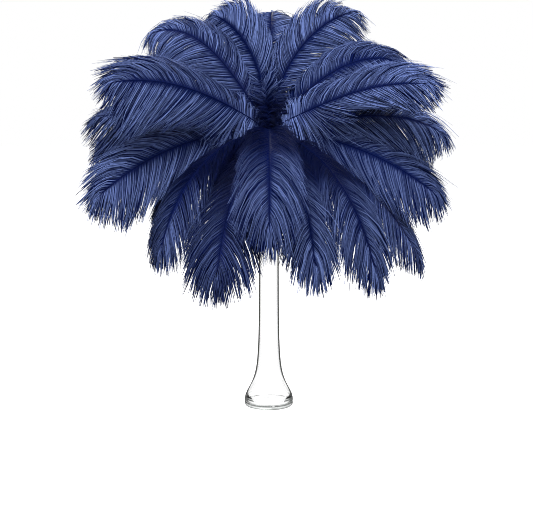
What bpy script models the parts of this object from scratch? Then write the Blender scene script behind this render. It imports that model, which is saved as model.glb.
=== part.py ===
"""A table centrepiece: dyed ostrich plumes standing in a tall glass vase with a trumpet foot.

Metres, +Z up. The origin is the middle of the vase's foot, on the table top, and the
arrangement faces -Y. Each plume is one closed solid, a round quill that opens into a thin
arched blade with a serrated edge, and the vase is one turned wall. Plumes are grouped in
tiers, from the ones that hang over the mouth to the ones that crown the top.
"""

import math
from collections import namedtuple

import bmesh
import bpy
import numpy as np

# The vase, 45 cm tall on a foot 86 mm across
VASE_HEIGHT = 0.450
FOOT_RADIUS = 0.043
FOOT_EDGE_RADIUS = 0.0055
SHOULDER_HEIGHT = 0.010
NECK_RADIUS = 0.0174
FLARE_HEIGHT = 0.0335
FLARE_POWER = 2.3
LIP_HEIGHT = 0.065
LIP_FLARE = 0.0028
WALL = 0.0025
FLOOR_THICKNESS = 0.008
FLOOR_RADIUS = 0.0345
FLOOR_FILLET = 0.003
FLARE_RINGS = (0.020, 0.030, 0.042, 0.056, 0.075, 0.105, 0.160)
EDGE_STEPS = 4
VASE_SIDES = 32

# The plumes: a quill 3 mm thick that tapers to its tip, and barbs that leave it as a blade
QUILL_RADIUS = 0.0015
SHAFT_TIP_RADIUS = 0.0006
SHAFT_TAPER = 3
QUILL_END_HEIGHT = 0.368
BLADE_EDGE = 0.0007
BLADE_START = 0.75
BLADE_STATIONS = 16
FULL_WIDTH_AT = 0.60
OPENING_POWER = 0.65
ROUNDING_FROM = 0.70
ROUNDING_LENGTH = 0.305
TOOTH_DEPTH = 0.13
TOOTH_LEAN = 0.07
SWEEP = 0.55
SWEEP_FADE = 6
BEND_STATIONS = (0.0, 0.4, 0.75)
SHAFT_STEP = 0.001
# The walls between two sections: the points of the section that each joins, and whether its
# first point is the one that its dividing line starts from
WALLS = ((0, 1, True), (1, 2, False), (2, 3, True), (3, 4, True), (4, 5, False), (5, 0, True))

# Quills stand in the neck in rings, packed round one in the centre. The outer ring stands
# just inside the glass.
RIM_RING = 0.0119
MID_RING = 0.0079
CORE_RING = 0.0039
CENTRE = 0.0

# How high each tier's quills rise straight up and how tightly they turn outwards, and how far
# the blade's edges droop along its back and under gravity. Higher tiers rise further before
# they turn, so they pass over the lower ones.
Tier = namedtuple("Tier", "rise bend cup sag")
HANGING = Tier(rise=0.084, bend=0.055, cup=0.16, sag=0.00)
LOWER = Tier(rise=0.090, bend=0.055, cup=0.16, sag=0.08)
MIDDLE = Tier(rise=0.097, bend=0.055, cup=0.16, sag=0.15)
UPPER = Tier(rise=0.104, bend=0.055, cup=0.16, sag=0.20)
CROWN = Tier(rise=0.110, bend=0.060, cup=0.16, sag=0.05)

# One plume: the way it leans seen from above, its slope from upright after the turn and at
# its tip, how late it bows between the two, its length, half its width, its roll about its
# shaft, and the ring and place of its quill in the neck. Angles are in degrees, with azimuth
# 0 to the right and -90 towards the front.
Plume = namedtuple("Plume", "name tier azimuth fan end late length half roll ring place")
PLUMES = (
    Plume("plume_hanging_front", HANGING, -90, 80, 165, 1.0, 0.502, 0.057, 0, RIM_RING, -90),
    Plume("plume_hanging_front_right", HANGING, -76, 98, 168, 1.0, 0.505, 0.054, -14, RIM_RING, -70),
    Plume("plume_hanging_right", HANGING, -54, 101, 168, 1.0, 0.505, 0.057, -7, RIM_RING, -50),
    Plume("plume_hanging_far_right", HANGING, -26, 109, 156, 1.0, 0.476, 0.066, 4, RIM_RING, -30),
    Plume("plume_hanging_back_right", HANGING, 48, 94, 166, 1.0, 0.495, 0.057, 0, RIM_RING, 48),
    Plume("plume_hanging_back_near_right", HANGING, 76, 90, 168, 1.0, 0.480, 0.057, 0, RIM_RING, 76),
    Plume("plume_hanging_back_near_left", HANGING, 104, 96, 168, 1.0, 0.480, 0.057, 0, RIM_RING, 104),
    Plume("plume_hanging_back_left", HANGING, 132, 90, 166, 1.0, 0.495, 0.057, 0, RIM_RING, 132),
    Plume("plume_hanging_left", HANGING, -136, 97, 172, 0.9, 0.460, 0.066, 10, RIM_RING, -131),
    Plume("plume_hanging_front_left", HANGING, -106, 103, 165, 1.0, 0.515, 0.062, 8, RIM_RING, -110),
    Plume("plume_lower_right", LOWER, -16, 100, 134, 1.3, 0.446, 0.066, 38, RIM_RING, -8),
    Plume("plume_lower_back_right", LOWER, 26, 84, 138, 1.3, 0.445, 0.066, -20, RIM_RING, 25),
    Plume("plume_lower_back_near_right", LOWER, 64, 82, 140, 1.3, 0.460, 0.066, -20, MID_RING, 66),
    Plume("plume_lower_back_near_left", LOWER, 112, 82, 140, 1.3, 0.460, 0.066, 20, MID_RING, 114),
    Plume("plume_lower_back_left", LOWER, 148, 84, 138, 1.3, 0.445, 0.066, 14, RIM_RING, 154),
    Plume("plume_lower_left", LOWER, 178, 89, 112, 1.2, 0.425, 0.062, -50, RIM_RING, 178),
    Plume("plume_lower_front_left", LOWER, -160, 95, 137, 1.1, 0.463, 0.066, -56, RIM_RING, -156),
    Plume("plume_middle_right", MIDDLE, -25, 66.5, 104, 2.0, 0.441, 0.066, 66, MID_RING, -26),
    Plume("plume_middle_far_right", MIDDLE, 3, 83, 145, 3.0, 0.456, 0.066, 40, MID_RING, 5),
    Plume("plume_middle_back_right", MIDDLE, 40, 60, 110, 1.5, 0.450, 0.066, -20, MID_RING, 36),
    Plume("plume_middle_back_left", MIDDLE, 140, 60, 110, 1.5, 0.450, 0.066, 20, MID_RING, 144),
    Plume("plume_middle_far_left", MIDDLE, 176, 79, 101, 1.2, 0.443, 0.066, -48, MID_RING, 176),
    Plume("plume_middle_left", MIDDLE, -153, 61, 106, 1.5, 0.446, 0.070, -68, MID_RING, -150),
    Plume("plume_upper_right", UPPER, 9, 47.5, 130, 2.2, 0.424, 0.066, 56, CORE_RING, 0),
    Plume("plume_upper_back_right", UPPER, 39, 46, 110, 2.0, 0.450, 0.066, 0, CORE_RING, 60),
    Plume("plume_upper_back_left", UPPER, 141, 46, 110, 2.0, 0.450, 0.066, 0, CORE_RING, 120),
    Plume("plume_upper_left", UPPER, 162, 35.7, 140, 2.8, 0.446, 0.064, -52, CORE_RING, 180),
    Plume("plume_crown_right", CROWN, 43.5, 19, 85, 0.9, 0.471, 0.056, 59, CORE_RING, 300),
    Plume("plume_crown_back", CROWN, 88, 15, 101, 1.2, 0.478, 0.066, 0, CENTRE, 0),
    Plume("plume_crown_left", CROWN, 126.5, 13, 86, 1.0, 0.436, 0.060, -67, CORE_RING, 240),
)

# Paint, in linear colour
NAVY = (0.013, 0.024, 0.125)
CLEAR = (0.93, 0.95, 0.95)


def emptied_scene(name):
    """Clear the scene, and make one collection for the finished pieces."""
    for thing in list(bpy.data.objects):
        bpy.data.objects.remove(thing, do_unlink=True)
    collection = bpy.data.collections.new(name)
    bpy.context.scene.collection.children.link(collection)
    return collection


def finish(name, colour, roughness, transmission=0.0):
    """A plain Principled material."""
    material = bpy.data.materials.new(name)
    material.use_nodes = True
    shader = material.node_tree.nodes["Principled BSDF"]
    shader.inputs["Base Color"].default_value = (*colour, 1.0)
    shader.inputs["Roughness"].default_value = roughness
    shader.inputs["Metallic"].default_value = 0.0
    shader.inputs["Transmission Weight"].default_value = transmission
    return material


# ---- The vase ----


def outer_radius(height):
    """Radius of the vase's outside above its foot: a trumpet flare, a straight neck and a
    slight flare at the lip."""
    above = max(height - SHOULDER_HEIGHT, 0.0) / FLARE_HEIGHT
    flare = (FOOT_RADIUS - NECK_RADIUS) / (1 + above**FLARE_POWER)
    lip = max(height - (VASE_HEIGHT - LIP_HEIGHT), 0.0) / LIP_HEIGHT
    return NECK_RADIUS + flare + LIP_FLARE * lip**2


def arc(middle, radius, start, end):
    """Points (radius from the axis, height) along part of a circle, angles in degrees."""
    points = []
    for step in range(EDGE_STEPS + 1):
        angle = math.radians(start + (end - start) * step / EDGE_STEPS)
        points.append((middle[0] + radius * math.cos(angle), middle[1] + radius * math.sin(angle)))
    return points


def vase_profile():
    """Radius and height from the middle of the inner floor, up the inside, over the lip and
    down the outside to the middle of the foot."""
    rings = (*FLARE_RINGS, VASE_HEIGHT - LIP_HEIGHT, VASE_HEIGHT - LIP_HEIGHT / 2)
    floor = [(0.0, FLOOR_THICKNESS), (FLOOR_RADIUS - FLOOR_FILLET, FLOOR_THICKNESS)]
    floor.append((FLOOR_RADIUS, FLOOR_THICKNESS + FLOOR_FILLET))
    inside = [(outer_radius(height) - WALL, height) for height in rings]
    lip = arc((outer_radius(VASE_HEIGHT) - WALL / 2, VASE_HEIGHT - WALL / 2), WALL / 2, 180, 0)
    outside = [(outer_radius(height), height) for height in reversed(rings)]
    outside.append((FOOT_RADIUS, SHOULDER_HEIGHT))
    edge = arc((FOOT_RADIUS - FOOT_EDGE_RADIUS, FOOT_EDGE_RADIUS), FOOT_EDGE_RADIUS, 0, -90)
    return floor + inside + lip + outside + edge + [(0.0, 0.0)]


def build_vase(collection):
    """The vase as one turned wall: a profile swept round by a Screw modifier."""
    mesh = bpy.data.meshes.new("vase")
    points = [(radius, 0.0, height) for radius, height in vase_profile()]
    edges = [(i, i + 1) for i in range(len(points) - 1)]
    mesh.from_pydata(points, edges, [])
    mesh.materials.append(finish("clear_glass", CLEAR, 0.03, transmission=1.0))
    vase = bpy.data.objects.new("vase", mesh)
    collection.objects.link(vase)
    turned = vase.modifiers.new("turned", "SCREW")
    turned.steps = turned.render_steps = VASE_SIDES
    turned.use_merge_vertices = True
    turned.merge_threshold = 0.0001
    turned.use_smooth_shade = True


# ---- The plumes ----


def eased(share):
    """0 to 1 with a level start and end."""
    share = np.clip(share, 0.0, 1.0)
    return share * share * (3 - 2 * share)


def shaft(plume):
    """The plume's shaft: distances along it, with the point, the tangent and the upper side
    there. It stands upright in the neck, turns outwards above the mouth and then bows down."""
    tier = plume.tier
    along = np.arange(0.0, plume.length + SHAFT_STEP, SHAFT_STEP)
    turned = eased((along - tier.rise) / tier.bend)
    free = plume.length - tier.rise - tier.bend
    bowed = np.clip((along - tier.rise - tier.bend) / free, 0.0, 1.0) ** plume.late
    slope = np.radians(plume.fan * turned + (plume.end - plume.fan) * bowed)[:, None]
    heading = math.radians(plume.azimuth)
    outwards = np.array([math.cos(heading), math.sin(heading), 0.0])
    upwards = np.array([0.0, 0.0, 1.0])
    tangent = np.sin(slope) * outwards + np.cos(slope) * upwards
    upper = np.sin(slope) * upwards - np.cos(slope) * outwards
    place = math.radians(plume.place)
    root = (plume.ring * math.cos(place), plume.ring * math.sin(place), QUILL_END_HEIGHT)
    points = root + (np.cumsum(tangent, axis=0) - tangent[0]) * SHAFT_STEP
    return along, points, tangent, upper


def half_width(plume, share):
    """Half the blade's width at a share of its length: short down at the base, full past the
    middle and rounded at the tip."""
    opening = eased(share / FULL_WIDTH_AT) ** OPENING_POWER
    rounding = math.sqrt(1 - (max(share - ROUNDING_FROM, 0.0) / ROUNDING_LENGTH) ** 2)
    return plume.half * opening * rounding


def blade_section(plume, share, tooth):
    """Six points round the blade, as (along, across, up) from the shaft: edge, ridge and edge
    on top, and back underneath. A tooth stands further out than a notch, and the edges sweep
    towards the tip, less so as it rounds."""
    width = half_width(plume, share) * (1.0 if tooth else 1.0 - TOOTH_DEPTH)
    lean = SWEEP * width + (TOOTH_LEAN if tooth else -TOOTH_LEAN) * plume.half
    lean *= 1 - share**SWEEP_FADE
    ridge = SHAFT_TIP_RADIUS + (QUILL_RADIUS - SHAFT_TIP_RADIUS) * (1 - share) ** SHAFT_TAPER
    edge = BLADE_EDGE / 2
    droop = plume.tier.cup * width
    return [
        (lean, -width, edge - droop),
        (0.0, 0.0, ridge),
        (lean, width, edge - droop),
        (lean, width, -edge - droop),
        (0.0, 0.0, -ridge),
        (lean, -width, -edge - droop),
    ]


def quill_section():
    """Six points round the bare quill, in the blade section's order."""
    angles = [math.radians(150 - 60 * i) for i in range(6)]
    return [(0.0, QUILL_RADIUS * math.cos(a), QUILL_RADIUS * math.sin(a)) for a in angles]


def stations(plume):
    """The distances along the shaft at which the solid has a section, each with its section."""
    bend_start = plume.tier.rise
    blade_start = bend_start + plume.tier.bend * BLADE_START
    found = [(0.0, quill_section())]
    for share in BEND_STATIONS:
        found.append((bend_start + plume.tier.bend * share, quill_section()))
    for i in range(1, BLADE_STATIONS + 1):
        share = i / BLADE_STATIONS
        distance = blade_start + (plume.length - blade_start) * share
        found.append((distance, blade_section(plume, share, tooth=i % 2 == 1)))
    return found


def plume_mesh(plume):
    """A loft through the quill's and the blade's sections, closed at both ends. Its top and
    its underside are split along the same lines, so that the blade is equally thick all over."""
    along, points, tangent, upper = shaft(plume)
    roll = math.radians(plume.roll)
    shape = bmesh.new()
    rings = []
    for distance, section in stations(plume):
        nearest = int(np.argmin(np.abs(along - distance)))
        forward, top = tangent[nearest], upper[nearest]
        side = np.cross(forward, top)
        ridge_way = math.cos(roll) * top + math.sin(roll) * side
        across_way = math.cos(roll) * side - math.sin(roll) * top
        ring = []
        for ahead, across, up in section:
            place = points[nearest] + forward * ahead + across_way * across + ridge_way * up
            place[2] -= plume.tier.sag * across**2 / plume.half
            ring.append(shape.verts.new(place))
        rings.append(ring)
    for ring, following in zip(rings, rings[1:]):
        for i, j, from_edge in WALLS:
            if from_edge:
                shape.faces.new((ring[i], following[i], following[j]))
                shape.faces.new((ring[i], following[j], ring[j]))
            else:
                shape.faces.new((ring[i], following[i], ring[j]))
                shape.faces.new((following[i], following[j], ring[j]))
    shape.faces.new(rings[0])
    shape.faces.new(reversed(rings[-1]))
    bmesh.ops.recalc_face_normals(shape, faces=shape.faces[:])
    mesh = bpy.data.meshes.new(plume.name)
    shape.to_mesh(mesh)
    shape.free()
    return mesh


def build_plumes(collection):
    for plume in PLUMES:
        mesh = plume_mesh(plume)
        mesh.materials.append(finish(plume.name + "_dyed_barbs", NAVY, 0.75))
        collection.objects.link(bpy.data.objects.new(plume.name, mesh))


def main():
    collection = emptied_scene("ostrich_plume_centrepiece")
    build_vase(collection)
    build_plumes(collection)


main()
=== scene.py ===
"""The looks of a table centrepiece: navy ostrich plumes in a tall clear vase.

Metres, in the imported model's frame: the origin is under the middle of the vase's foot, +Z is
up, and the arrangement faces -Y.
"""

import math
from collections import namedtuple

import bpy
import numpy as np
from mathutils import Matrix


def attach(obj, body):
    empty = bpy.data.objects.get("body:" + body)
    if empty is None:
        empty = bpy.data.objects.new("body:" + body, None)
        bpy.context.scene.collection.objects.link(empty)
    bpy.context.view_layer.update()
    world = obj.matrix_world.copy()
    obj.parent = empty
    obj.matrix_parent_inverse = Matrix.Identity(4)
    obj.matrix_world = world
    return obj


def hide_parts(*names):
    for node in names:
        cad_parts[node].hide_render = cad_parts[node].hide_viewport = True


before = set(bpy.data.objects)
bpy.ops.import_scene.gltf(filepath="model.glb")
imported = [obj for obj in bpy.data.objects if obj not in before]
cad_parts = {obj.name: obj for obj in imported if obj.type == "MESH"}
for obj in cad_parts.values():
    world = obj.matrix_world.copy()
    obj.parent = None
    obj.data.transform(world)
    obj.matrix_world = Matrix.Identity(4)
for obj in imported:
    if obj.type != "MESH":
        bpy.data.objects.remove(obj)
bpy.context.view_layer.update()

# ---------------------------------------------------------------------------------------
# The camera: across the table at the height of the plumes' middle, looking slightly down.
# ---------------------------------------------------------------------------------------
CAMERA_PLACE = (-0.0042, -2.2, 0.545)
CAMERA_DIP = 7.5
LENS = 85.0
SENSOR_WIDTH = 36.0
PIXEL_FILTER_WIDTH = 1.0

camera = bpy.data.objects.new("camera", bpy.data.cameras.new("camera"))
camera.data.lens = LENS
camera.data.sensor_width = SENSOR_WIDTH
camera.data.dof.use_dof = False
camera.location = CAMERA_PLACE
camera.rotation_euler = (math.radians(90 - CAMERA_DIP), 0.0, 0.0)
bpy.context.scene.collection.objects.link(camera)
bpy.context.scene.camera = camera
bpy.context.scene.view_settings.view_transform = "Standard"
bpy.context.scene.cycles.filter_width = PIXEL_FILTER_WIDTH

# ---------------------------------------------------------------------------------------
# The studio: a wide white sheet on the table, in a white room that lights the plumes dimly and
# more from above than from below, with soft boxes above, in front and behind.
# ---------------------------------------------------------------------------------------
SHEET_REACH = 12.0
SHEET_DROP = 0.0004
SHEET_GLOW = 0.85
SHEET_WHITE = (0.85, 0.85, 0.85, 1)
SHEET_ROUGHNESS = 0.9
ROOM_ABOVE = 0.42
ROOM_BELOW = 0.10
ROOM_BRIGHTENING = 1.6
ROOM_LEVEL_SHARE = 0.4
ROOM_BEHIND_GLASS = 1.12
ROOM_BESIDE_GLASS = 0.08
WALL_SURFACES = 2.5
BESIDE_GLASS_SLOPE = 0.25
SOFT_BOXES = {
    "soft_box_above": dict(place=(-0.7, -1.3, 2.3), towards=(0, 0, 0.5), size=(1.0, 1.0), power=53),
    "soft_box_front": dict(place=(0.9, -2.6, 1.3), towards=(0, 0, 0.45), size=(1.2, 1.2), power=42),
    "soft_box_back": dict(place=(0.6, 2.2, 2.0), towards=(0, 0, 0.5), size=(1.8, 1.2), power=42),
}


class Wire:
    """An output socket in a node tree. Arithmetic on wires adds Math and Vector Math nodes."""

    def __init__(self, socket):
        self.socket = socket

    def is_vector(self):
        return self.socket.type == "VECTOR"

    def work(self, operation, *values):
        terms = [self, *values]
        tree = self.socket.id_data
        vectors = [v for v in terms if isinstance(v, tuple) or isinstance(v, Wire) and v.is_vector()]
        if not vectors:
            return add(tree, "ShaderNodeMath", {"operation": operation}, dict(enumerate(terms)))
        if operation == "MULTIPLY" and len(vectors) == 1:
            number = next(v for v in terms if v is not vectors[0])
            scaled = {0: vectors[0], "Scale": number}
            return add(tree, "ShaderNodeVectorMath", {"operation": "SCALE"}, scaled)
        return add(tree, "ShaderNodeVectorMath", {"operation": operation}, dict(enumerate(terms)))

    def __add__(self, other):
        return self.work("ADD", other)

    def __sub__(self, other):
        return self.work("SUBTRACT", other)

    def __mul__(self, other):
        return self.work("MULTIPLY", other)

    def __truediv__(self, other):
        return self.work("DIVIDE", other)

    def __pow__(self, other):
        return self.work("POWER", other)

    def __mod__(self, other):
        return self.work("FLOORED_MODULO", other)

    __radd__ = __add__
    __rmul__ = __mul__

    def __rsub__(self, other):
        return self * -1 + other


def add(tree, kind, settings=None, sockets=None, output=None):
    """Adds one node: its type, its settings, and the values or wires that go into its sockets,
    a list of wires where a socket takes several. Returns a wire from its first output, or from
    the one that is named."""
    node = tree.nodes.new(kind)
    for name, value in (settings or {}).items():
        setattr(node, name, value)
    shown = [socket for socket in node.inputs if socket.enabled]
    for name, value in (sockets or {}).items():
        socket = shown[name] if isinstance(name, int) else next(s for s in shown if s.name == name)
        if isinstance(value, (Wire, list)):
            for wire in value if isinstance(value, list) else [value]:
                tree.links.new(wire.socket, socket)
        else:
            socket.default_value = value
    outputs = [socket for socket in node.outputs if socket.enabled]
    return next((Wire(socket) for socket in outputs if output in (None, socket.name)), None)


def clamped(value):
    settings = {"operation": "ADD", "use_clamp": True}
    return add(value.socket.id_data, "ShaderNodeMath", settings, {0: value, 1: 0.0})


sheet_mesh = bpy.data.meshes.new("table_sheet")
corners = [(x, y, -SHEET_DROP) for x, y in ((-1, -1), (1, -1), (1, 1), (-1, 1))]
corners = [(x * SHEET_REACH, y * SHEET_REACH, z) for x, y, z in corners]
sheet_mesh.from_pydata(corners, [], [(0, 1, 2, 3)])
table_sheet = bpy.data.objects.new("table_sheet", sheet_mesh)
bpy.context.scene.collection.objects.link(table_sheet)
white = bpy.data.materials.new("white_sheet")
white.use_nodes = True
sheet_shader = white.node_tree.nodes["Principled BSDF"]
sheet_shader.inputs["Base Color"].default_value = SHEET_WHITE
sheet_shader.inputs["Roughness"].default_value = SHEET_ROUGHNESS
sheet_shader.inputs["Emission Color"].default_value = (1, 1, 1, 1)
sheet_shader.inputs["Emission Strength"].default_value = SHEET_GLOW
sheet_mesh.materials.append(white)
table_sheet.visible_diffuse = False
table_sheet.visible_glossy = False
table_sheet.visible_transmission = False

for name, box in SOFT_BOXES.items():
    lamp = bpy.data.lights.new(name, "AREA")
    lamp.shape = "RECTANGLE"
    lamp.size, lamp.size_y = box["size"]
    lamp.energy = box["power"]
    holder = bpy.data.objects.new(name, lamp)
    holder.location = box["place"]
    aim = np.subtract(box["towards"], box["place"])
    tilt = math.atan2(math.hypot(aim[0], aim[1]), -aim[2])
    holder.rotation_euler = (tilt, 0.0, math.atan2(-aim[0], aim[1]))
    bpy.context.scene.collection.objects.link(holder)

# The room is white to the camera and straight through the glass, and dark where light has only
# passed through the edge of the glass's wall, which draws the vase's outline.
room = bpy.data.worlds.new("white_room")
room.use_nodes = True
walls = room.node_tree
seen_by_camera = add(walls, "ShaderNodeLightPath", output="Is Camera Ray")
through_glass = Wire(seen_by_camera.socket.node.outputs["Is Transmission Ray"])
towards = add(walls, "ShaderNodeTexCoord", output="Generated")
height = add(walls, "ShaderNodeSeparateXYZ", None, {"Vector": towards}, output="Z")
crossed = Wire(seen_by_camera.socket.node.outputs["Transmission Depth"])
through_wall = add(walls, "ShaderNodeMath", {"operation": "LESS_THAN"}, {0: crossed, 1: WALL_SURFACES})
slope = {0: height, 1: -BESIDE_GLASS_SLOPE, 2: BESIDE_GLASS_SLOPE}
level = add(walls, "ShaderNodeMath", {"operation": "COMPARE"}, slope)
brightened = clamped(height * ROOM_BRIGHTENING + ROOM_LEVEL_SHARE)
around = ROOM_BELOW + (ROOM_ABOVE - ROOM_BELOW) * brightened
beyond = ROOM_BEHIND_GLASS + (ROOM_BESIDE_GLASS - ROOM_BEHIND_GLASS) * through_wall * level
strength = around + (beyond - around) * through_glass
strength = strength + (1.0 - strength) * seen_by_camera
room_shader = walls.nodes["Background"]
room_shader.inputs["Color"].default_value = (1, 1, 1, 1)
walls.links.new(strength.socket, room_shader.inputs["Strength"])
bpy.context.scene.world = room

# ---------------------------------------------------------------------------------------
# The vase: one blown piece of clear soda-lime glass, a trumpet foot drawn up into a long
# straight neck, fire-polished at the lip. It stands on its foot and holds the quills.
# ---------------------------------------------------------------------------------------
VASE_HEIGHT = 0.450
FOOT_RADIUS = 0.043
FOOT_EDGE_RADIUS = 0.0055
FOOT_EDGE_TOP = 50
SHOULDER_HEIGHT = 0.010
NECK_RADIUS = 0.0174
FLARE_HEIGHT = 0.0335
FLARE_POWER = 2.3
LIP_HEIGHT = 0.065
LIP_FLARE = 0.0028
WALL = 0.0025
FLOOR_THICKNESS = 0.008
FLOOR_RADIUS = 0.0345
FLOOR_FILLET = 0.003
INSIDE_START = 0.018
LIP_START = 0.002
VASE_SIDES = 96
VASE_RINGS = 56
RING_SPREAD = 1.6
SEAM = 0.00001
GLASS_IOR = 1.5
GLASS_TINT = (0.72, 0.77, 0.75, 1.0)
GLASS_TINT_DENSITY = 8.0


def outer_radius(height):
    above = max(height - SHOULDER_HEIGHT, 0.0) / FLARE_HEIGHT
    flare = (FOOT_RADIUS - NECK_RADIUS) / (1 + above**FLARE_POWER)
    lip = max(height - (VASE_HEIGHT - LIP_HEIGHT), 0.0) / LIP_HEIGHT
    return NECK_RADIUS + flare + LIP_FLARE * lip**2


def arc(middle, radius, start, end, steps=8):
    turns = [math.radians(start + (end - start) * i / steps) for i in range(steps + 1)]
    return [(middle[0] + radius * math.cos(a), middle[1] + radius * math.sin(a)) for a in turns]


def vase_profile():
    rise = VASE_HEIGHT - LIP_START - SHOULDER_HEIGHT
    rings = [SHOULDER_HEIGHT + rise * (i / VASE_RINGS) ** RING_SPREAD for i in range(1, VASE_RINGS)]
    fillet_middle = (FLOOR_RADIUS - FLOOR_FILLET, FLOOR_THICKNESS + FLOOR_FILLET)
    fillet = arc(fillet_middle, FLOOR_FILLET, -90, 0)
    inside = [(outer_radius(h) - WALL, h) for h in rings if h > INSIDE_START]
    lip_middle = (outer_radius(VASE_HEIGHT) - WALL / 2, VASE_HEIGHT - WALL / 2)
    lip = arc(lip_middle, WALL / 2, 180, 0)
    outside = [(outer_radius(h), h) for h in reversed(rings)]
    edge_middle = (FOOT_RADIUS - FOOT_EDGE_RADIUS, FOOT_EDGE_RADIUS)
    edge = arc(edge_middle, FOOT_EDGE_RADIUS, FOOT_EDGE_TOP, -90)
    return [(0.0, FLOOR_THICKNESS)] + fillet + inside + lip + outside + edge + [(0.0, 0.0)]


profile = vase_profile()
vase_line = bpy.data.meshes.new("vase_line")
line_edges = [(i, i + 1) for i in range(len(profile) - 1)]
vase_line.from_pydata([(r, 0.0, h) for r, h in profile], line_edges, [])
vase = bpy.data.objects.new("glass_vase", vase_line)
bpy.context.scene.collection.objects.link(vase)
turned = vase.modifiers.new("turned", "SCREW")
turned.steps = turned.render_steps = VASE_SIDES
turned.use_merge_vertices = True
turned.merge_threshold = SEAM
turned.use_smooth_shade = True
bpy.context.view_layer.update()
blown = bpy.data.meshes.new_from_object(vase.evaluated_get(bpy.context.evaluated_depsgraph_get()))
vase.modifiers.clear()
vase.data = blown

glass = bpy.data.materials.new("clear_glass")
glass.use_nodes = True
shader = glass.node_tree.nodes["Principled BSDF"]
shader.inputs["Base Color"].default_value = (1.0, 1.0, 1.0, 1.0)
shader.inputs["Roughness"].default_value = 0.0
shader.inputs["IOR"].default_value = GLASS_IOR
shader.inputs["Transmission Weight"].default_value = 1.0
tint = {"Color": GLASS_TINT, "Density": GLASS_TINT_DENSITY}
tint = add(glass.node_tree, "ShaderNodeVolumeAbsorption", None, tint)
glass.node_tree.links.new(tint.socket, glass.node_tree.nodes["Material Output"].inputs["Volume"])
vase.data.materials.clear()
vase.data.materials.append(glass)
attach(vase, "root")
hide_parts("vase")

# ---------------------------------------------------------------------------------------
# The plumes: dyed ostrich feathers, each one shaft with 600 long loose barbs on each side. The
# quills stand in the neck, and the plumes turn outwards above the mouth and bow under their
# own weight, in five tiers from hanging to upright.
# ---------------------------------------------------------------------------------------
QUILL_RADIUS = 0.0015
SHAFT_TIP_RADIUS = 0.0006
SHAFT_SIDES = 8
SHAFT_RINGS = 30
SHAFT_STEP = 0.001
SHAFT_SHORT_OF_TIP = 0.027
GUIDE_PAST_TIP = 0.015
QUILL_END_HEIGHT = 0.368
BLADE_START = 0.75
RIM_RING = 0.0119
MID_RING = 0.0079
CORE_RING = 0.0039
CENTRE = 0.0

# A tier's plumes rise straight, then bend outwards. Cup and sag curve the vane, down is the
# reach of the loose barbs at its foot, and shade is where its barbs' painted shade, darkest at the hub,
# begins to lighten and where it ends.
Tier = namedtuple("Tier", "rise bend cup sag down shade")
HANGING = Tier(rise=0.084, bend=0.055, cup=0.16, sag=0.00, down=0.040, shade=(0.170, 0.290))
LOWER = Tier(rise=0.090, bend=0.055, cup=0.16, sag=0.08, down=0.055, shade=(0.020, 0.060))
MIDDLE = Tier(rise=0.097, bend=0.055, cup=0.16, sag=0.19, down=0.072, shade=(0.010, 0.050))
UPPER = Tier(rise=0.104, bend=0.055, cup=0.16, sag=0.20, down=0.035, shade=(0.040, 0.120))
CROWN = Tier(rise=0.110, bend=0.060, cup=0.16, sag=0.05, down=0.030, shade=(0.040, 0.140))

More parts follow.
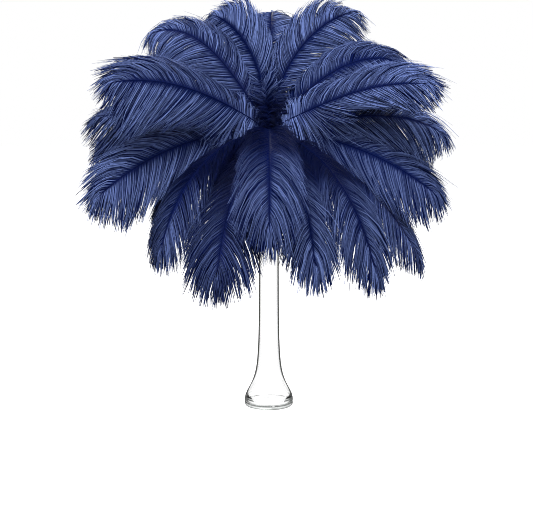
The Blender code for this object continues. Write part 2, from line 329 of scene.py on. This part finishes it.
# Which way a plume faces, its slope from upright after the bend and at the tip, and how late it
# bows; its length, half its vane's width and its roll; and where its quill stands.
Plume = namedtuple("Plume", "name tier azimuth fan end late length half roll ring place")
PLUMES = (
    Plume("plume_hanging_front", HANGING, -90, 80, 165, 1.0, 0.502, 0.057, 0, RIM_RING, -90),
    Plume("plume_hanging_front_right", HANGING, -76, 98, 168, 1.0, 0.505, 0.058, -14, RIM_RING, -70),
    Plume("plume_hanging_right", HANGING, -54, 101, 168, 1.0, 0.505, 0.062, -7, RIM_RING, -50),
    Plume("plume_hanging_far_right", HANGING, -26, 109, 156, 1.0, 0.476, 0.066, 4, RIM_RING, -30),
    Plume("plume_hanging_back_right", HANGING, 48, 94, 166, 1.0, 0.495, 0.057, 0, RIM_RING, 48),
    Plume("plume_hanging_back_near_right", HANGING, 76, 90, 168, 1.0, 0.480, 0.057, 0, RIM_RING, 76),
    Plume("plume_hanging_back_near_left", HANGING, 104, 96, 168, 1.0, 0.480, 0.057, 0, RIM_RING, 104),
    Plume("plume_hanging_back_left", HANGING, 132, 90, 166, 1.0, 0.495, 0.057, 0, RIM_RING, 132),
    Plume("plume_hanging_left", HANGING, -136, 97, 172, 0.9, 0.460, 0.074, 10, RIM_RING, -131),
    Plume("plume_hanging_front_left", HANGING, -106, 103, 165, 1.0, 0.515, 0.070, 8, RIM_RING, -110),
    Plume("plume_lower_right", LOWER, -16, 100, 134, 1.3, 0.446, 0.066, 38, RIM_RING, -8),
    Plume("plume_lower_back_right", LOWER, 26, 84, 138, 1.3, 0.445, 0.066, -20, RIM_RING, 25),
    Plume("plume_lower_back_near_right", LOWER, 64, 82, 140, 1.3, 0.460, 0.066, -20, MID_RING, 66),
    Plume("plume_lower_back_near_left", LOWER, 112, 82, 140, 1.3, 0.460, 0.066, 20, MID_RING, 114),
    Plume("plume_lower_back_left", LOWER, 148, 84, 138, 1.3, 0.445, 0.066, 14, RIM_RING, 154),
    Plume("plume_lower_left", LOWER, 178, 89, 112, 1.2, 0.425, 0.062, -50, RIM_RING, 178),
    Plume("plume_lower_front_left", LOWER, -160, 95, 137, 1.1, 0.463, 0.066, -56, RIM_RING, -156),
    Plume("plume_middle_right", MIDDLE, -25, 66.5, 104, 2.0, 0.441, 0.066, 66, MID_RING, -26),
    Plume("plume_middle_far_right", MIDDLE, 3, 83, 145, 3.0, 0.456, 0.066, 40, MID_RING, 5),
    Plume("plume_middle_back_right", MIDDLE, 40, 60, 110, 1.5, 0.450, 0.066, -20, MID_RING, 36),
    Plume("plume_middle_back_left", MIDDLE, 140, 60, 110, 1.5, 0.450, 0.066, 20, MID_RING, 144),
    Plume("plume_middle_far_left", MIDDLE, 176, 79, 101, 1.2, 0.443, 0.066, -48, MID_RING, 176),
    Plume("plume_middle_left", MIDDLE, -153, 61, 106, 1.5, 0.446, 0.070, -68, MID_RING, -150),
    Plume("plume_upper_right", UPPER, 9, 47.5, 130, 2.2, 0.424, 0.066, 56, CORE_RING, 0),
    Plume("plume_upper_back_right", UPPER, 39, 46, 110, 2.0, 0.450, 0.066, 0, CORE_RING, 60),
    Plume("plume_upper_back_left", UPPER, 141, 46, 110, 2.0, 0.450, 0.066, 0, CORE_RING, 120),
    Plume("plume_upper_left", UPPER, 162, 35.7, 140, 2.8, 0.446, 0.064, -52, CORE_RING, 180),
    Plume("plume_crown_right", CROWN, 43.5, 19, 85, 0.9, 0.471, 0.056, 59, CORE_RING, 300),
    Plume("plume_crown_back", CROWN, 88, 15, 101, 1.2, 0.478, 0.066, 0, CENTRE, 0),
    Plume("plume_crown_left", CROWN, 126.5, 13, 86, 1.0, 0.436, 0.060, -67, CORE_RING, 240),
)
# How much lighter or darker a plume is painted, painted light and shade in place of the light that falls
# on it; how long the barbs of its lower side are and how far its down reaches, where it differs from the
# others; and the middle of the bouquet, round which shade is painted into the barbs.
PAINTED_LIGHT_BY_PLUME = {
    "plume_crown_left": 1.55,
    "plume_crown_right": 1.50,
    "plume_crown_back": 1.35,
    "plume_upper_left": 1.35,
    "plume_middle_right": 1.30,
    "plume_middle_far_right": 1.20,
    "plume_middle_far_left": 1.30,
    "plume_lower_left": 1.90,
    "plume_lower_front_left": 1.25,
    "plume_lower_right": 0.66,
    "plume_hanging_left": 0.85,
    "plume_hanging_front_left": 0.45,
    "plume_hanging_front": 0.86,
    "plume_hanging_front_right": 1.10,
    "plume_hanging_right": 0.90,
    "plume_hanging_far_right": 0.70,
}
SHORTER_SIDE = {"plume_middle_right": 0.50}
LONG_DOWN = {"plume_middle_right": 0.130}
HUB = (0.0, -0.01, 0.49)

# The barbs, and the locks and tufts that they bunch in: how many barbs of one side a bunch
# holds, how far its edges wander, how often, and how the two sides differ.
BARBS = 1200
BARB_SIDES = 3
BARB_SEGMENTS = 4
LOCK = dict(size=6.5, waves=0.41, shift=2.1, wander=1.6, offset=2.3)
TUFT = dict(size=34.0, waves=0.19, shift=1.3, wander=5.0, offset=9)
LOCK_PULL = 0.36
LOCK_PULL_EASED = 0.20
TUFT_PULL = 0.05
ROOT_PULL = 0.35
NEAR_TIP = 0.45
NEAR_TIP_SPAN = 0.35
UNDER_FROM = 0.30
UNDER_EDGE = 10
UNDER_LOST_IN_DOWN = 0.6
UNDER_SHORTER = 0.05
DOWNY_SHARE = 0.31
NEAR_BASE = 0.45
STRAY_FROM = 0.89

# The vane's outline: straight-sided to the round end, with the roots set back from the tips.
STRAIGHT_SHARE = 0.63
ROUND_FROM = 0.70
ROUND_LENGTH = 0.305
OPEN_AT = 0.60
OPENING_POWER = 0.65
SWEEP = 0.55
SWEEP_FADE = 6
FIRST_ROOT = -0.10
LAST_ROOT = 0.90
ROOT_SET_BACK = 0.15

# A barb's course: it bulges to the side, holds back, lies on its lock's ridge, puffs and falls.
BULGE = 0.38
HOLD = 0.38
RIDGE = 0.0022
RIDGE_REACH = 1.1
RIDGE_TURN = 3.0
LOCK_PUFF = 0.0035
TUFT_PUFF = 0.004
BARB_PUFF = 0.0032
STRAY_PUFF = 0.014
DOWN_PUFF = 0.024
PUFF_TURN = 2.6
WAVE = 0.0018
WAVE_TURN = 7.0
CURL = 0.0060
CURL_TURN = 9.0
FINE_CURL = 0.0025
FINE_CURL_TURN = 12.0
SLACK = 0.003
LIMP = 0.022
LIMP_FROM = 0.55
DOWN_FALL = 0.45

# Its thickness: thin at the root, tapering to the tip, and more or less for some.
BARB_RADIUS = 0.00044
UNDER_THICKER = 0.00110
BRIGHT_THICKER = 0.00028
DOWNY_THICKER = 0.00015
TIP_THICKER = 0.35
ROOT_THINNER = 0.4
ROOT_REACH = 0.15
TAPER = 0.72
FLATNESS = 0.75
UNDER_FLATTER = 0.5

# What differs from barb to barb, lock to lock or tuft to tuft: between what, and its own seed.
SEEDS_APART = 100
SCATTER = {
    "order": (-0.5, 0.5, 1),
    "barb_length": (0.88, 1.06, 2),
    "tuft_length": (0.94, 1.04, 3),
    "lock_length": (0.92, 1.05, 4),
    "down_shortening": (0.0, 0.38, 22),
    "tuft_ahead": (-0.003, 0.003, 5),
    "barb_ahead": (-0.010, 0.010, 14),
    "stray_ahead": (-0.016, 0.016, 15),
    "down_ahead": (-0.012, 0.012, 16),
    "down_sweep": (-2.2, -0.2, 20),
    "lock_puff": (-0.5, 0.7, 6),
    "tuft_puff": (-0.5, 0.6, 7),
    "barb_puff": (-1.0, 1.0, 8),
    "stray_puff": (-0.5, 1.0, 17),
    "down_puff": (-0.5, 1.0, 18),
    "wave": (0.0, 6.28, 9),
    "curl": (0.0, 6.28, 21),
    "fine_curl": (0.0, 6.28, 23),
    "slack": (0.4, 1.4, 19),
    "thickness": (0.8, 1.2, 10),
    "strand": (0.0, 1.0, 11),
    "lock_tone": (0.0, 1.0, 12),
    "stray": (0.0, 1.0, 13),
    "quill_end": (0.0, 0.022, 24),
}

# The colour: how much paler each thing makes a barb, at random by strand and lock, towards the tip
# and in the down, with painted highlight on the locks' ridges and painted shade on the barbs under
# them; and the navy dye from dark to light, and the deeper navy of the shade painted near the hub.
BRIGHT_FROM = 0.66
BRIGHT_EDGE = 8
BRIGHT_PALER = 0.75
# painted highlight: the barbs on a lock's ridge are painted paler
RIDGE_PAINTED_HIGHLIGHT = 0.3
DOWN_PALER_AND_PAINTED_LIGHT = 11
# the down is painted paler: partly its own lighter colour, partly painted light on its tufts that stand
# out
DOWNY_PALER = 0.40
ALONG_PALER = 0.18
LOCK_PALER = 0.26
STRAND_PALER = 0.45
# painted shade: the barbs lying under the locks are painted darker
UNDER_PAINTED_SHADE = 0.70
TONE_POWER = 1.35
DARK_ROOT = 0.15
# painted shade near the hub: the share of the tone kept there, how deep and how sharp it is, and its
# deeper navy
SHADED_SHARE = 0.10
HUB_PAINTED_SHADE = 0.65
HUB_PAINTED_SHADE_EDGE = 4
NAVY_PAINTED_SHADE = (0.0001, 0.0015, 0.024, 1)
NAVY_DARK = (0.0003, 0.005, 0.055, 1)
NAVY_LIGHT = (0.195, 0.275, 0.620, 1)
NAVY_SHAFT = (0.001, 0.004, 0.035, 1)
BARB_ROUGHNESS = 0.5
BARB_SHINE = 0.07
SHAFT_ROUGHNESS = 0.6
SHAFT_SHINE = 0.03


def eased(share):
    share = np.clip(share, 0.0, 1.0)
    return share * share * (3 - 2 * share)


def shaft_line(plume):
    """The shaft's points, a millimetre apart, as the solid model runs them."""
    tier = plume.tier
    along = np.arange(0.0, plume.length + GUIDE_PAST_TIP + SHAFT_STEP, SHAFT_STEP)
    turned = eased((along - tier.rise) / tier.bend)
    free = plume.length - tier.rise - tier.bend
    bowed = np.clip((along - tier.rise - tier.bend) / free, 0.0, 1.0) ** plume.late
    slope = np.radians(plume.fan * turned + (plume.end - plume.fan) * bowed)[:, None]
    heading = math.radians(plume.azimuth)
    outwards = np.array([math.cos(heading), math.sin(heading), 0.0])
    tangent = np.sin(slope) * outwards + np.cos(slope) * np.array([0.0, 0.0, 1.0])
    place = math.radians(plume.place)
    root = (plume.ring * math.cos(place), plume.ring * math.sin(place), QUILL_END_HEIGHT)
    return root + (np.cumsum(tangent, axis=0) - tangent[0]) * SHAFT_STEP


def smooth_step(value):
    held = clamped(value)
    return held * held * (3 - held * 2)


def maths(operation, *values):
    tree = next(v for v in values if isinstance(v, Wire)).socket.id_data
    return add(tree, "ShaderNodeMath", {"operation": operation}, dict(enumerate(values)))


PLUME_INPUTS = {
    "Heading": "NodeSocketFloat",
    "Roll": "NodeSocketFloat",
    "Length": "NodeSocketFloat",
    "Blade Start": "NodeSocketFloat",
    "Half Width": "NodeSocketFloat",
    "Down": "NodeSocketFloat",
    # these three: painted shade near the hub, and each plume painted lighter or darker as painted light
    "Shade Start": "NodeSocketFloat",
    "Shade End": "NodeSocketFloat",
    "Paleness": "NodeSocketFloat",
    "Shorter Side": "NodeSocketFloat",
    "Cup": "NodeSocketFloat",
    "Sag": "NodeSocketFloat",
    "Barbs": "NodeSocketInt",
    "Seed": "NodeSocketInt",
    "Barb Finish": "NodeSocketMaterial",
    "Shaft Finish": "NodeSocketMaterial",
}


def plume_tree():
    """The node tree that grows one plume along its shaft's line."""
    tree = bpy.data.node_groups.new("ostrich_plume", "GeometryNodeTree")
    face = tree.interface
    face.new_socket("Shaft", in_out="INPUT", socket_type="NodeSocketGeometry")
    for name, kind in PLUME_INPUTS.items():
        face.new_socket(name, in_out="INPUT", socket_type=kind)
    face.new_socket("Plume", in_out="OUTPUT", socket_type="NodeSocketGeometry")
    inputs = add(tree, "NodeGroupInput").socket.node.outputs
    given = {socket.name: Wire(socket) for socket in inputs if socket.name}
    length, half = given["Length"], given["Half Width"]
    start = given["Blade Start"]
    blade = length - start

    def chance(what, ident):
        low, high, own_seed = SCATTER[what]
        sockets = {"Min": low, "Max": high, "ID": ident, "Seed": given["Seed"] + own_seed}
        return add(tree, "FunctionNodeRandomValue", {"data_type": "FLOAT"}, sockets)

    def noted(geometry, name, value, kind="FLOAT"):
        settings = {"data_type": kind, "domain": "POINT"}
        sockets = {"Geometry": geometry, "Name": name, "Value": value}
        return add(tree, "GeometryNodeStoreNamedAttribute", settings, sockets)

    # one point to a barb, and on each point an upright strand of three sides
    points = add(tree, "GeometryNodePoints", None, {"Count": given["Barbs"]})
    points = noted(points, "barb", add(tree, "GeometryNodeInputIndex"), "INT")
    line = add(tree, "GeometryNodeCurvePrimitiveLine", None, {"Start": (0, 0, 0), "End": (0, 0, 1)})
    line = add(tree, "GeometryNodeResampleCurve", None, {"Curve": line, "Count": BARB_SEGMENTS + 1})
    ring = {"Resolution": BARB_SIDES, "Radius": 1.0}
    ring = add(tree, "GeometryNodeCurvePrimitiveCircle", None, ring)
    strand = {"Curve": line, "Profile Curve": ring, "Fill Caps": True}
    strand = add(tree, "GeometryNodeCurveToMesh", None, strand)
    barbs = add(tree, "GeometryNodeInstanceOnPoints", None, {"Points": points, "Instance": strand})
    barbs = add(tree, "GeometryNodeRealizeInstances", None, {"Geometry": barbs})

    # which barb it is, and on which side of the shaft
    barb = add(tree, "GeometryNodeInputNamedAttribute", {"data_type": "INT"}, {"Name": "barb"})
    side_index = barb % 2
    side = 1 - side_index * 2
    pair = maths("FLOOR", barb / 2)
    pairs = given["Barbs"] / 2

    def bunched(size, waves, shift, wander, offset):
        """How many bunches of that size lie before a barb, and its own bunch's middle."""
        uneven = pair + maths("SINE", pair * waves + side_index * shift) * wander + side_index * offset
        passed = uneven / size
        middle = (maths("FLOOR", passed) * size + size / 2 - side_index * offset) / pairs
        return passed, middle

    # its place in its lock and its tuft; those between two locks lie under them
    locks_passed, lock_order = bunched(**LOCK)
    tufts_passed, tuft_order = bunched(**TUFT)
    lock = maths("FLOOR", locks_passed)
    lock_id = lock * 2 + side_index
    tuft_id = maths("FLOOR", tufts_passed) * 2 + side_index
    in_lock = locks_passed - lock - 0.5
    on_ridge = 1 - in_lock * in_lock * 4
    downy = 1 - smooth_step(pair / pairs / DOWNY_SHARE)
    under = smooth_step((maths("ABSOLUTE", in_lock) - UNDER_FROM) * UNDER_EDGE)
    under = under * (1 - downy * UNDER_LOST_IN_DOWN)
    order = (pair + 0.5 + chance("order", barb) * (1 - under)) / pairs

    def outline(order):
        """Where a barb of that order ends: the share along the blade, how far ahead of that
        it sweeps, and its reach to the side."""
        order = clamped(order)
        past = clamped((order - STRAIGHT_SHARE) / (1 - STRAIGHT_SHARE)) * (math.pi / 2)
        even = maths("MINIMUM", order / STRAIGHT_SHARE, 1.0)
        share = even * ROUND_FROM + maths("SINE", past) * ROUND_LENGTH
        width = half * (smooth_step(share / OPEN_AT) ** OPENING_POWER) * maths("COSINE", past)
        return share, width * SWEEP * (1 - share**SWEEP_FADE), width

    # where it would end by itself, where its lock and tuft draw it, and where it is rooted
    share, lean, width = outline(order)
    near_tip = smooth_step((order - NEAR_TIP) / NEAR_TIP_SPAN)
    pull = (1 - under) * (LOCK_PULL - near_tip * LOCK_PULL_EASED)
    drawn = order + (lock_order - order) * pull + (tuft_order - order) * TUFT_PULL
    drawn_share, drawn_lean, drawn_width = outline(drawn)
    rooted = clamped(order + (lock_order - order) * (1 - under) * ROOT_PULL)
    past = clamped((rooted - STRAIGHT_SHARE) / (1 - STRAIGHT_SHARE))
    even = maths("MINIMUM", rooted / STRAIGHT_SHARE, 1.0)
    turn_root = ROUND_FROM - ROOT_SET_BACK
    root_share = FIRST_ROOT + (turn_root - FIRST_ROOT) * even + (LAST_ROOT - turn_root) * past
    root_place = start + root_share * blade

    # how long it is
    near_base = 1 - smooth_step(share / NEAR_BASE)
    stray = maths("GREATER_THAN", chance("stray", barb) - under, STRAY_FROM)
    long_or_short = chance("barb_length", barb) * chance("tuft_length", tuft_id)
    long_or_short = long_or_short * chance("lock_length", lock_id) * (1 - under * UNDER_SHORTER)
    long_or_short = long_or_short * (1 - near_base * chance("down_shortening", lock_id))
    down = given["Down"] * near_base

    # its course over the vane, from t = 0 at the shaft to t = 1 at its tip
    spot = add(tree, "GeometryNodeInputPosition")
    ring_x = add(tree, "ShaderNodeSeparateXYZ", None, {"Vector": spot}, output="X")
    ring_y = Wire(ring_x.socket.node.outputs["Y"])
    t = Wire(ring_x.socket.node.outputs["Z"])
    drawing = t * t
    tip_ahead = share * blade + lean + (drawn_share * blade + drawn_lean - share * blade - lean) * drawing
    tip_ahead = tip_ahead + start - root_place + chance("tuft_ahead", tuft_id) * drawing
    tip_ahead = tip_ahead + chance("barb_ahead", barb) * drawing
    tip_ahead = tip_ahead + stray * chance("stray_ahead", barb)
    tip_ahead = tip_ahead + near_base * chance("down_ahead", lock_id) * t
    tip_ahead = tip_ahead + downy * given["Down"] * chance("down_sweep", lock_id) * t
    shorter = (1 - side_index) * (1 - near_base) * (1 - given["Shorter Side"])
    across = (width + (drawn_width - width) * drawing + down) * long_or_short * (1 - shorter)
    sideways = t * (1 + BULGE - t * BULGE)
    forwards = t * (1 - HOLD + t * HOLD)
    station = root_place + tip_ahead * long_or_short * forwards
    sampled = {"mode": "LENGTH", "use_all_curves": False}
    sampled = add(tree, "GeometryNodeSampleCurve", sampled, {"Curves": given["Shaft"], "Length": station})
    sampler = sampled.socket.node
    centre, tangent = Wire(sampler.outputs["Position"]), Wire(sampler.outputs["Tangent"])
    heading, roll = given["Heading"], given["Roll"]
    flat_way = {"X": maths("SINE", heading), "Y": maths("COSINE", heading) * -1}
    flat_way = add(tree, "ShaderNodeCombineXYZ", None, flat_way)
    upper = add(tree, "ShaderNodeVectorMath", {"operation": "CROSS_PRODUCT"}, {0: flat_way, 1: tangent})
    ridge_way = upper * maths("COSINE", roll) + flat_way * maths("SINE", roll)
    across_way = flat_way * maths("COSINE", roll) - upper * maths("SINE", roll)
    reach = side * across * sideways
    ridge = maths("SINE", clamped(t * RIDGE_REACH) * RIDGE_TURN)
    ridge = (1 - under) * on_ridge * RIDGE * ridge
    puff = chance("lock_puff", lock_id) * LOCK_PUFF + chance("tuft_puff", tuft_id) * TUFT_PUFF
    puff = puff * maths("SINE", t * PUFF_TURN)
    puff = puff + chance("barb_puff", barb) * BARB_PUFF * t * (1 - under)
    puff = puff + stray * chance("stray_puff", barb) * STRAY_PUFF * t
    puff = puff + near_base * chance("down_puff", lock_id) * DOWN_PUFF * t
    height = puff + ridge - given["Cup"] * across * sideways * sideways
    curl = maths("SINE", t * CURL_TURN + chance("curl", lock_id)) * t * near_base * CURL
    fine_curl = maths("SINE", t * FINE_CURL_TURN + chance("fine_curl", barb))
    curl = curl + fine_curl * t * near_base * FINE_CURL
    wave = maths("SINE", t * WAVE_TURN + chance("wave", lock_id)) * t * WAVE + curl
    slack = chance("slack", tuft_id) * t * t * t * SLACK
    droop = given["Sag"] * reach * reach / half + down * t * t * DOWN_FALL + slack
    fall = add(tree, "ShaderNodeCombineXYZ", None, {"Z": droop * -1})
    upwards = add(tree, "ShaderNodeSeparateXYZ", None, {"Vector": upper}, output="Z")
    limp = smooth_step((share - LIMP_FROM) / (1 - LIMP_FROM)) * t * t * LIMP * upwards
    course = centre + across_way * (reach + wave) + ridge_way * height - upper * limp + fall

    # its thickness round that course: flat strands in the vane, wider ones underneath
    along_way = tangent * (tip_ahead * (1 - HOLD + t * (2 * HOLD)))
    along_way = along_way + across_way * (side * across * (1 + BULGE - t * (2 * BULGE)))
    crossed = {0: along_way, 1: ridge_way}
    broad = add(tree, "ShaderNodeVectorMath", {"operation": "CROSS_PRODUCT"}, crossed)
    broad = add(tree, "ShaderNodeVectorMath", {"operation": "NORMALIZE"}, {0: broad})
    deep = add(tree, "ShaderNodeVectorMath", {"operation": "CROSS_PRODUCT"}, {0: broad, 1: along_way})
    deep = add(tree, "ShaderNodeVectorMath", {"operation": "NORMALIZE"}, {0: deep})
    grown = (ROOT_THINNER - under * ROOT_THINNER) * smooth_step(t / ROOT_REACH)
    taper = (1 - t * t * t * TAPER) * (1 - ROOT_THINNER + under * ROOT_THINNER + grown)
    bright = smooth_step((chance("strand", barb) - BRIGHT_FROM) * BRIGHT_EDGE)
    girth = BARB_RADIUS + under * UNDER_THICKER + bright * BRIGHT_THICKER + downy * DOWNY_THICKER
    girth = girth * taper * chance("thickness", barb) * (1 + near_tip * TIP_THICKER)
    flatness = FLATNESS - under * UNDER_FLATTER
    placed = course + broad * (ring_x * girth) + deep * (ring_y * girth * flatness)

    # what the colour goes by: the dye, a painted highlight on the locks' ridges, the down, and painted
    # shade and light
    barbs = noted(barbs, "along", t + downy * DOWNY_PALER)
    # the down paler: partly its own colour, partly painted light on its tufts
    down_paleness_and_light = downy * given["Down"] * DOWN_PALER_AND_PAINTED_LIGHT
    # the strand's paleness: random bright strands, a painted highlight on the locks' ridges, and the down
    barbs = noted(barbs, "strand", bright * BRIGHT_PALER + on_ridge * RIDGE_PAINTED_HIGHLIGHT + down_paleness_and_light)
    # painted shade: the colour darkens towards the hub, and each plume is painted lighter or darker by
    # its own factor, in place of the light that reaches it
    from_hub = add(tree, "ShaderNodeVectorMath", {"operation": "DISTANCE"}, {0: course, 1: HUB})
    shade_start, shade_end = given["Shade Start"], given["Shade End"]
    lit = smooth_step((from_hub - shade_start) / (shade_end - shade_start)) * given["Paleness"]
    barbs = noted(barbs, "open", lit)
    barbs = noted(barbs, "lock", chance("lock_tone", lock_id))
    barbs = noted(barbs, "under", under)
    barbs = add(tree, "GeometryNodeSetPosition", None, {"Geometry": barbs, "Position": placed})
    finish = {"Geometry": barbs, "Material": given["Barb Finish"]}
    barbs = add(tree, "GeometryNodeSetMaterial", None, finish)

    # the shaft, short of the vane's tip
    spine = {"Curve": given["Shaft"], 2: chance("quill_end", 0), "End": length - SHAFT_SHORT_OF_TIP}
    spine = add(tree, "GeometryNodeTrimCurve", {"mode": "LENGTH"}, spine)
    spine = add(tree, "GeometryNodeResampleCurve", None, {"Curve": spine, "Count": SHAFT_RINGS})
    gone = add(tree, "GeometryNodeSplineParameter")
    girth = QUILL_RADIUS + (SHAFT_TIP_RADIUS - QUILL_RADIUS) * gone
    spine = add(tree, "GeometryNodeSetCurveRadius", None, {"Curve": spine, "Radius": girth})
    ring = {"Resolution": SHAFT_SIDES, "Radius": 1.0}
    ring = add(tree, "GeometryNodeCurvePrimitiveCircle", None, ring)
    tube = {"Curve": spine, "Profile Curve": ring, "Fill Caps": True}
    tube["Scale"] = add(tree, "GeometryNodeInputRadius")
    tube = add(tree, "GeometryNodeCurveToMesh", None, tube)
    finish = {"Geometry": tube, "Material": given["Shaft Finish"]}
    tube = add(tree, "GeometryNodeSetMaterial", None, finish)
    joined = add(tree, "GeometryNodeJoinGeometry", None, {"Geometry": [tube, barbs]})
    smooth = add(tree, "GeometryNodeSetShadeSmooth", None, {"Geometry": joined})
    add(tree, "NodeGroupOutput", None, {"Plume": smooth})
    return tree


def dyed_barbs():
    material = bpy.data.materials.new("dyed_barbs")
    material.use_nodes = True
    tree = material.node_tree
    shader = tree.nodes["Principled BSDF"]
    along, strand, lock, under, lit = [
        add(tree, "ShaderNodeAttribute", {"attribute_name": name}, output="Fac")
        for name in ("along", "strand", "lock", "under", "open")
    ]
    # the barbs under the locks get painted shade
    tone = along * ALONG_PALER + lock * LOCK_PALER + strand * STRAND_PALER - under * UNDER_PAINTED_SHADE
    tone = (clamped(tone) ** TONE_POWER) * smooth_step(along / DARK_ROOT)
    tone = tone * (SHADED_SHARE + lit * (1 - SHADED_SHARE))
    # painted shade: near the hub the navy is mixed towards a deeper navy
    hub_painted_shade = clamped(1 - lit * HUB_PAINTED_SHADE_EDGE) * HUB_PAINTED_SHADE
    colour = {"Factor": tone, "A": NAVY_DARK, "B": NAVY_LIGHT}
    colour = add(tree, "ShaderNodeMix", {"data_type": "RGBA"}, colour)
    colour = {"Factor": hub_painted_shade, "A": colour, "B": NAVY_PAINTED_SHADE}
    colour = add(tree, "ShaderNodeMix", {"data_type": "RGBA"}, colour)
    tree.links.new(colour.socket, shader.inputs["Base Color"])
    shader.inputs["Roughness"].default_value = BARB_ROUGHNESS
    shader.inputs["Specular IOR Level"].default_value = BARB_SHINE
    return material


def dyed_shaft():
    material = bpy.data.materials.new("dyed_shaft")
    material.use_nodes = True
    shader = material.node_tree.nodes["Principled BSDF"]
    shader.inputs["Base Color"].default_value = NAVY_SHAFT
    shader.inputs["Roughness"].default_value = SHAFT_ROUGHNESS
    shader.inputs["Specular IOR Level"].default_value = SHAFT_SHINE
    return material


barb_finish, shaft_finish = dyed_barbs(), dyed_shaft()
grow = plume_tree()
sockets = {item.name: item.identifier for item in grow.interface.items_tree if item.in_out == "INPUT"}
for number, plume in enumerate(PLUMES):
    line = shaft_line(plume)
    curve = bpy.data.curves.new(plume.name + "_line", "CURVE")
    curve.dimensions = "3D"
    spline = curve.splines.new("POLY")
    spline.points.add(len(line) - 1)
    spline.points.foreach_set("co", np.c_[line, np.ones(len(line))].ravel())
    piece = bpy.data.objects.new(plume.name + "_growing", curve)
    bpy.context.scene.collection.objects.link(piece)
    growing = piece.modifiers.new("growing", "NODES")
    growing.node_group = grow
    values = {
        "Heading": math.radians(plume.azimuth),
        "Roll": math.radians(plume.roll),
        "Length": plume.length,
        "Blade Start": plume.tier.rise + plume.tier.bend * BLADE_START,
        "Half Width": plume.half,
        "Down": LONG_DOWN.get(plume.name, plume.tier.down),
        # where the painted shade near the hub lies, and how much lighter or darker the plume is painted
        "Shade Start": plume.tier.shade[0],
        "Shade End": plume.tier.shade[1],
        "Paleness": PAINTED_LIGHT_BY_PLUME.get(plume.name, 1.0),
        "Shorter Side": SHORTER_SIDE.get(plume.name, 1.0),
        "Cup": plume.tier.cup,
        "Sag": plume.tier.sag,
        "Barbs": BARBS,
        "Seed": SEEDS_APART * number,
        "Barb Finish": barb_finish,
        "Shaft Finish": shaft_finish,
    }
    for name, value in values.items():
        growing[sockets[name]] = value
    bpy.context.view_layer.update()
    grown = bpy.data.meshes.new_from_object(piece.evaluated_get(bpy.context.evaluated_depsgraph_get()))
    bpy.data.objects.remove(piece)
    feather = bpy.data.objects.new(plume.name + "_barbs", grown)
    bpy.context.scene.collection.objects.link(feather)
    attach(feather, "root")
    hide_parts(plume.name)
